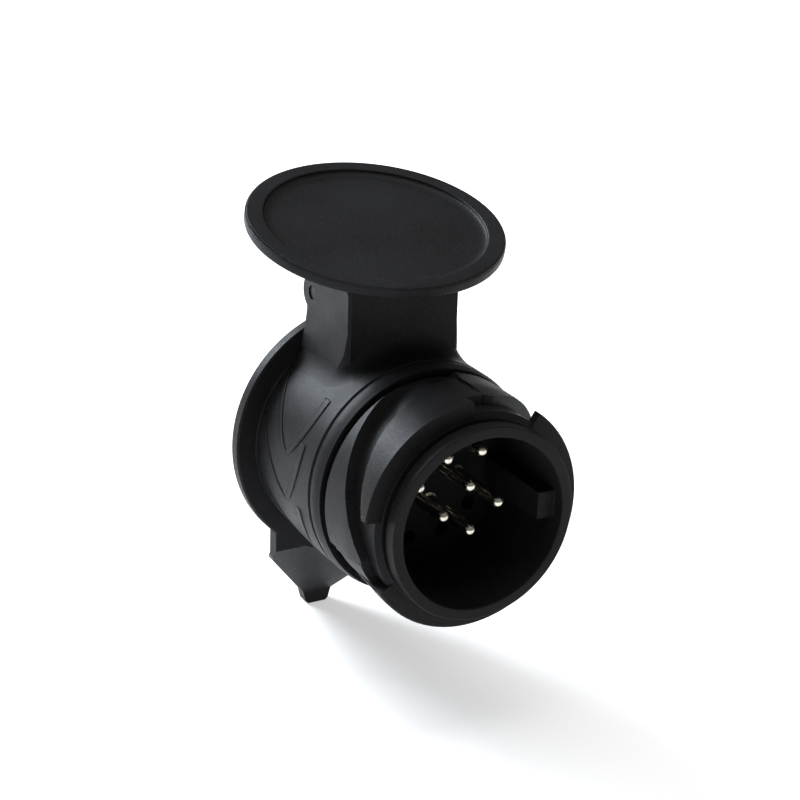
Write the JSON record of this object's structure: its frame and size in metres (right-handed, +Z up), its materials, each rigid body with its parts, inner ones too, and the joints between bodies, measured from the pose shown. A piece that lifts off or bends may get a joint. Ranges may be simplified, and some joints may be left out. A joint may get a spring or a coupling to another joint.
{
  "type": "trailer wiring adapter",
  "caption": "Black trailer wiring adapter: a bayonet plug with a turning ring and round-tipped pins in front, a socket under a sprung lid behind, and a round plate on a tower.",
  "frame": {"origin": "centre of the plug's front rim", "axes": "+X is the way the plug points, +Z is up through the tower, +Y completes the right-handed set"},
  "size_m": [0.0749, 0.0572, 0.1053],
  "materials": {
    "black_moulding": "satin",
    "dark_insert": "matt",
    "black_rubber": "matt",
    "nickel_plated_brass": "polished",
    "brass": "satin",
    "bright_steel": "satin",
    "copper_wire": "satin"
  },
  "bodies": {
    "housing": {"main_housing": "black_moulding", "top_plate": "black_moulding", "plug_sleeve": "black_moulding", "pin_carrier": "dark_insert", "socket_insert": "dark_insert", "sleeve_o_ring": "black_rubber", "carrier_gasket": "black_rubber", "insert_gasket": "black_rubber", "ring_clip": "bright_steel", "hinge_pin": "bright_steel", "hinge_spring": "bright_steel", "insert_screws": "bright_steel", "sleeve_screws": "bright_steel", "plug_pin_1": "nickel_plated_brass", "socket_contact_1": "brass", "link_wire_1": "copper_wire", "plug_pin_2": "nickel_plated_brass", "socket_contact_2": "brass", "link_wire_2": "copper_wire", "plug_pin_3": "nickel_plated_brass", "socket_contact_3": "brass", "link_wire_3": "copper_wire", "plug_pin_4": "nickel_plated_brass", "socket_contact_4": "brass", "link_wire_4": "copper_wire", "plug_pin_5": "nickel_plated_brass", "socket_contact_5": "brass", "link_wire_5": "copper_wire", "plug_pin_6": "nickel_plated_brass", "socket_contact_6": "brass", "link_wire_6": "copper_wire", "plug_pin_7": "nickel_plated_brass", "socket_contact_7": "brass", "link_wire_7": "copper_wire"},
    "ring": {"bayonet_ring": "black_moulding"},
    "lid": {"rear_lid": "black_moulding", "lid_seal": "black_rubber"}
  },
  "joints": [
    {"name": "lid_hinge", "type": "hinge", "parent": "housing", "child": "lid", "pos_m": [-0.0513, 0, 0.0343], "axis": [0, 1, 0], "range_deg": [0, 105], "stiffness_Nm_per_rad": 0.06, "springref_deg": -45.84, "deforming": ["hinge_spring"]},
    {"name": "ring_turn", "type": "hinge", "parent": "housing", "child": "ring", "pos_m": [-0.012, 0, 0], "axis": [1, 0, 0], "range_deg": [0, 80]}
  ]
}
